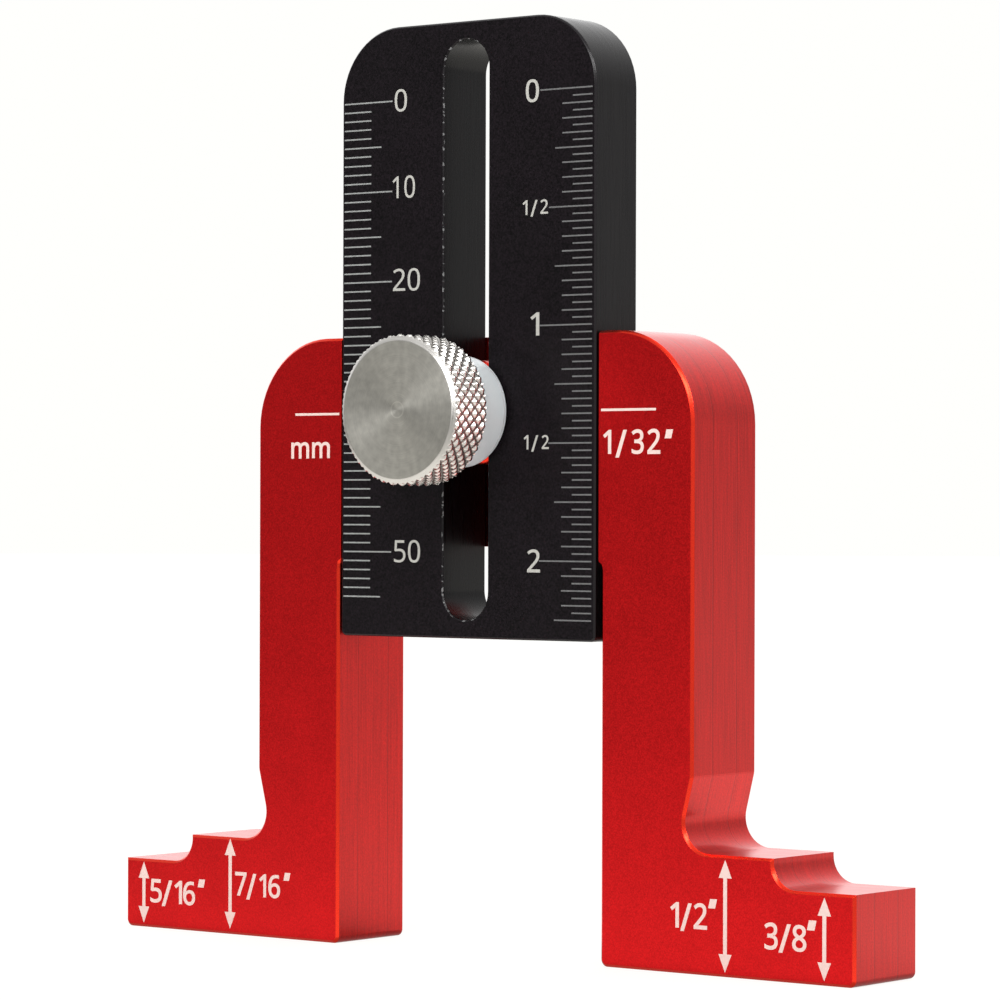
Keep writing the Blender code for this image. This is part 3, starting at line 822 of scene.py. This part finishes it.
class HEIGHTGAUGE_OT_bridge_marks(bpy.types.Operator):
    """Mark the index lines, the units and the heights of the four steps on the bridge"""

    bl_idname = "height_gauge.bridge_marks"
    bl_label = "Marks on the bridge"

    def execute(self, context):
        marks = context.scene.height_gauge.marks
        surface, proud = BRIDGE_LOW.y, marks.proud
        finish = marking_finish("bridge_white", marks.bridge_white, 0.06)
        lines = bmesh.new()
        for left, right in ((-24.83, -18.32), (18.32, 25.56)):
            mark_line(lines, left * MM, right * MM, marks.index_height, INDEX_WIDTH, surface, proud)
        finish_marks("index_lines", lines, "frame", finish)
        words = bmesh.new()
        heights = (
            ("5", -46.93, -45.12, 2.92, 5.68), ("/", -45.13, -43.46, 2.6, 5.64), ("1", -43.15, -41.94, 2.98, 5.68),
            ("6", -41.78, -39.91, 2.92, 5.69), ("″", -39.5, -38.36, 5.1, 6.03),
            ("7", -33.74, -32.0, 4.52, 7.22), ("/", -32.03, -30.5, 4.14, 7.13), ("1", -30.08, -29.02, 4.55, 7.17),
            ("6", -28.68, -26.91, 4.52, 7.19), ("″", -26.41, -25.37, 6.62, 7.51),
            ("1", 27.6, 28.74, 4.82, 7.5), ("/", 28.9, 30.4, 4.5, 7.46), ("2", 30.64, 32.36, 4.81, 7.56),
            ("″", 32.5, 33.63, 7.1, 8.08),
            ("3", 39.63, 41.31, 3.28, 6.11), ("/", 41.4, 42.95, 3.07, 6.06), ("8", 43.1, 44.87, 3.3, 6.08),
            ("″", 44.92, 46.11, 5.6, 6.64),
            ("1", 18.61, 19.69, 54.7, 57.26), ("/", 20.24, 21.76, 54.3, 57.25), ("3", 22.39, 23.99, 54.66, 57.3),
            ("2", 24.46, 26.15, 54.66, 57.33), ("″", 26.71, 27.8, 56.3, 57.24),
            (SANS_M, -25.42, -22.77, 54.42, 56.28), (SANS_M, -22.32, -19.69, 54.46, 56.28),
        )
        line_of_glyphs(words, heights, surface, proud, 0.018)
        finish_marks("bridge_lettering", words, "frame", finish)
        arrows = bmesh.new()
        places = (
            (-47.95, 0.5, 5 / 16, 0.35), (-34.5, 0.65, 7 / 16, 0.18),
            (34.66, 0.5, 1 / 2, 0.45), (47.07, 0.5, 3 / 8, 0.45),
        )
        for across, low, top, short in places:
            arrow(arrows, across * MM, low * MM, top * INCH - short * MM, surface, proud)
        finish_marks("step_arrows", arrows, "frame", finish)
        return {"FINISHED"}


class HEIGHTGAUGE_OT_stage(bpy.types.Operator):
    """Set the pale table, the studio light and the camera"""

    bl_idname = "height_gauge.stage"
    bl_label = "Table, light and camera"

    def execute(self, context):
        settings = context.scene.height_gauge.stage
        self.lay_table(settings)
        self.light_world(context.scene)
        for lamp in LAMPS:
            self.hang_lamp(*lamp)
        self.place_camera(context.scene, settings)
        context.scene.view_settings.view_transform = "Standard"
        return {"FINISHED"}

    def lay_table(self, settings):
        bm = bmesh.new()
        bmesh.ops.create_circle(bm, cap_ends=True, segments=96, radius=settings.floor_radius)
        mesh = bpy.data.meshes.new("pale_table")
        bm.to_mesh(mesh)
        bm.free()
        material = bpy.data.materials.new("pale_table")
        material.use_nodes = True
        tree = material.node_tree
        tree.nodes.clear()
        path = add_node(tree, "ShaderNodeLightPath")
        place = add_node(tree, "ShaderNodeTexCoord").outputs["Object"]
        away = add_node(tree, "ShaderNodeVectorMath", {0: place}, operation="LENGTH").outputs["Value"]
        parts = add_node(tree, "ShaderNodeSeparateXYZ", {0: place})
        # Painted light for reflections: the table glows brighter near the gauge, more behind it than before it, and far
        # off behind and to the right
        painted_light_near = spread(tree, away, 0.1, 0.4, 1.15, 0.0, smooth=True)
        painted_light_near = maths(tree, "MULTIPLY", painted_light_near, spread(tree, parts.outputs[1], 0.0, 0.04, 0.9, 1.35, smooth=True))
        aside = maths(tree, "MULTIPLY", parts.outputs[0], 0.6)
        aside = maths(tree, "ADD", aside, maths(tree, "MULTIPLY", parts.outputs[1], 0.8))
        far = spread(tree, aside, -0.25, 0.0, 0.3, 1.25, smooth=True)
        # Painted shade: the glow is dimmed towards the front right
        rightward = maths(tree, "SUBTRACT", parts.outputs[0], parts.outputs[1])
        painted_dimming_right = spread(tree, rightward, 0.06, 0.14, 1, 0.55, smooth=True)
        bright = maths(tree, "MULTIPLY", maths(tree, "MAXIMUM", painted_light_near, far), painted_dimming_right)
        # Painted shadow: in reflections the glow drops to 0.4 of itself under the gauge's footprint, across its depth
        # and width
        off_middle = maths(tree, "ABSOLUTE", maths(tree, "SUBTRACT", parts.outputs[1], 6 * MM))
        clear = spread(tree, off_middle, 5.5 * MM, 8.5 * MM, 0.4, 1, smooth=True)
        beyond = spread(tree, maths(tree, "ABSOLUTE", parts.outputs[0]), 50.5 * MM, 53.5 * MM, 0.4, 1, smooth=True)
        bright = maths(tree, "MULTIPLY", bright, maths(tree, "MAXIMUM", clear, beyond))
        # The glow seen in glossy reflections is painted light; rays that carry light to matte surfaces see a plain
        # matte table
        matte = add_node(tree, "ShaderNodeBsdfDiffuse", {0: (0.8, 0.8, 0.79, 1)}).outputs[0]
        painted_light_in_reflections = add_node(tree, "ShaderNodeEmission", {0: (1, 0.98, 0.93, 1), 1: bright}).outputs[0]
        felt = add_node(
            tree, "ShaderNodeMixShader", {0: path.outputs["Is Glossy Ray"], 1: matte, 2: painted_light_in_reflections}
        ).outputs[0]
        faint = add_node(tree, "ShaderNodeBsdfDiffuse", {0: (0.16, 0.16, 0.155, 1)}).outputs[0]
        glow = add_node(tree, "ShaderNodeEmission", {0: (1, 1, 0.98, 1), 1: 0.88}).outputs[0]
        pale = add_node(tree, "ShaderNodeAddShader", {0: faint, 1: glow}).outputs[0]
        mixed = add_node(tree, "ShaderNodeMixShader", {0: self.seen_rays(tree), 1: felt, 2: pale}).outputs[0]
        add_node(tree, "ShaderNodeOutputMaterial", {0: mixed})
        mesh.materials.append(material)
        table = bpy.data.objects.new("pale_table", mesh)
        bpy.context.scene.collection.objects.link(table)

    def seen_rays(self, tree):
        """1 for rays that show the backdrop itself, and 0 for those that carry its light to the gauge."""
        path = add_node(tree, "ShaderNodeLightPath")
        return maths(tree, "MAXIMUM", path.outputs["Is Camera Ray"], path.outputs["Is Transmission Ray"])

    def light_world(self, scene):
        """White for the camera, and for reflections white behind the gauge and dimmer before it."""
        world = bpy.data.worlds.new("studio")
        scene.world = world
        world.use_nodes = True
        tree = world.node_tree
        tree.nodes.clear()
        way = add_node(tree, "ShaderNodeTexCoord").outputs["Generated"]
        parts = add_node(tree, "ShaderNodeSeparateXYZ", {0: way})
        behind = spread(tree, parts.outputs[1], -0.1, 0.6, smooth=True)
        raised = spread(tree, parts.outputs[2], 0.1, 0.6, 1.0, 1.35, smooth=True)
        side = spread(tree, parts.outputs[0], -0.3, 0.85, 1.2, 0.6, smooth=True)
        panel = maths(
            tree, "MULTIPLY", spread(tree, parts.outputs[2], 0.08, 0.18, smooth=True),
            spread(tree, parts.outputs[2], 0.3, 0.42, 1, 0, smooth=True),
        )
        panel = maths(tree, "MULTIPLY", panel, spread(tree, parts.outputs[0], -0.45, -0.2, 0.5, 0, smooth=True))
        raised = maths(tree, "ADD", raised, panel)
        back_level = maths(tree, "MULTIPLY", maths(tree, "MULTIPLY", side, raised), behind)
        right = spread(tree, parts.outputs[0], 0.3, 0.75, 0.5, 0.75, smooth=True)
        over = maths(tree, "ADD", right, spread(tree, parts.outputs[2], 0.3, 0.8, 0, 0.3, smooth=True))
        front_level = maths(tree, "MULTIPLY", maths(tree, "SUBTRACT", 1.0, behind), over)
        level = maths(tree, "ADD", back_level, front_level)
        white = add_node(tree, "ShaderNodeBackground", {0: (1, 1, 0.98, 1), 1: 1.0}).outputs[0]
        soft = add_node(tree, "ShaderNodeBackground", {0: (1, 1, 1, 1), 1: level}).outputs[0]
        mixed = add_node(tree, "ShaderNodeMixShader", {0: self.seen_rays(tree), 1: soft, 2: white}).outputs[0]
        add_node(tree, "ShaderNodeOutputWorld", {0: mixed})

    def hang_lamp(self, name, way, distance, width, tall, radiance, on_matte):
        """An area lamp that way from the gauge's middle, facing it, as bright as radiance where it is seen."""
        light = bpy.data.lights.new(name, "AREA")
        light.shape, light.size, light.size_y = "RECTANGLE", width, tall
        light.energy = radiance * math.pi * width * tall
        lamp = bpy.data.objects.new(name, light)
        bpy.context.scene.collection.objects.link(lamp)
        way = Vector(way).normalized()
        lamp.location = Vector((0, 0, 0.05)) + distance * way
        lamp.rotation_euler = way.to_track_quat("Z", "Y").to_euler()
        lamp.visible_camera = False
        lamp.visible_diffuse = on_matte

    def place_camera(self, scene, settings):
        data = bpy.data.cameras.new("camera")
        data.sensor_width, data.lens = 36, settings.lens
        data.clip_start, data.clip_end = 0.01, 50
        camera = bpy.data.objects.new("camera", data)
        scene.collection.objects.link(camera)
        yaw, pitch, roll = settings.yaw, settings.pitch, settings.roll
        ahead = Vector((-math.sin(yaw) * math.cos(pitch), math.cos(yaw) * math.cos(pitch), -math.sin(pitch)))
        level = Vector((math.cos(yaw), math.sin(yaw), 0))
        over = level.cross(ahead)
        right = math.cos(roll) * level + math.sin(roll) * over
        above = math.cos(roll) * over - math.sin(roll) * level
        turn = Matrix((right, above, -ahead)).transposed().to_4x4()
        camera.matrix_world = Matrix.Translation(Vector(settings.target) - ahead * settings.distance) @ turn
        scene.camera = camera


OPERATORS = (
    HEIGHTGAUGE_OT_bridge,
    HEIGHTGAUGE_OT_plate,
    HEIGHTGAUGE_OT_collar,
    HEIGHTGAUGE_OT_screw,
    HEIGHTGAUGE_OT_millimetre_scale,
    HEIGHTGAUGE_OT_inch_scale,
    HEIGHTGAUGE_OT_bridge_marks,
    HEIGHTGAUGE_OT_stage,
)


class HEIGHTGAUGE_PT_pieces(bpy.types.Panel):
    """Buttons for the pieces of the height gauge"""

    bl_label = "Height gauge"
    bl_idname = "HEIGHTGAUGE_PT_pieces"
    bl_space_type = "VIEW_3D"
    bl_region_type = "UI"
    bl_category = "Height gauge"

    def draw(self, context):
        for operator in OPERATORS:
            self.layout.operator(operator.bl_idname)


CLASSES = (
    BridgeSettings,
    PlateSettings,
    ScrewSettings,
    CollarSettings,
    MarkSettings,
    StageSettings,
    GaugeSettings,
    *OPERATORS,
    HEIGHTGAUGE_PT_pieces,
)


def register():
    for item in CLASSES:
        bpy.utils.register_class(item)
    bpy.types.Scene.height_gauge = PointerProperty(type=GaugeSettings)


def unregister():
    del bpy.types.Scene.height_gauge
    for item in reversed(CLASSES):
        bpy.utils.unregister_class(item)


def main():
    register()
    bpy.ops.height_gauge.bridge()
    bpy.ops.height_gauge.plate()
    bpy.ops.height_gauge.collar()
    bpy.ops.height_gauge.screw()
    bpy.ops.height_gauge.millimetre_scale()
    bpy.ops.height_gauge.inch_scale()
    bpy.ops.height_gauge.bridge_marks()
    bpy.ops.height_gauge.stage()


if __name__ == "__main__":
    main()
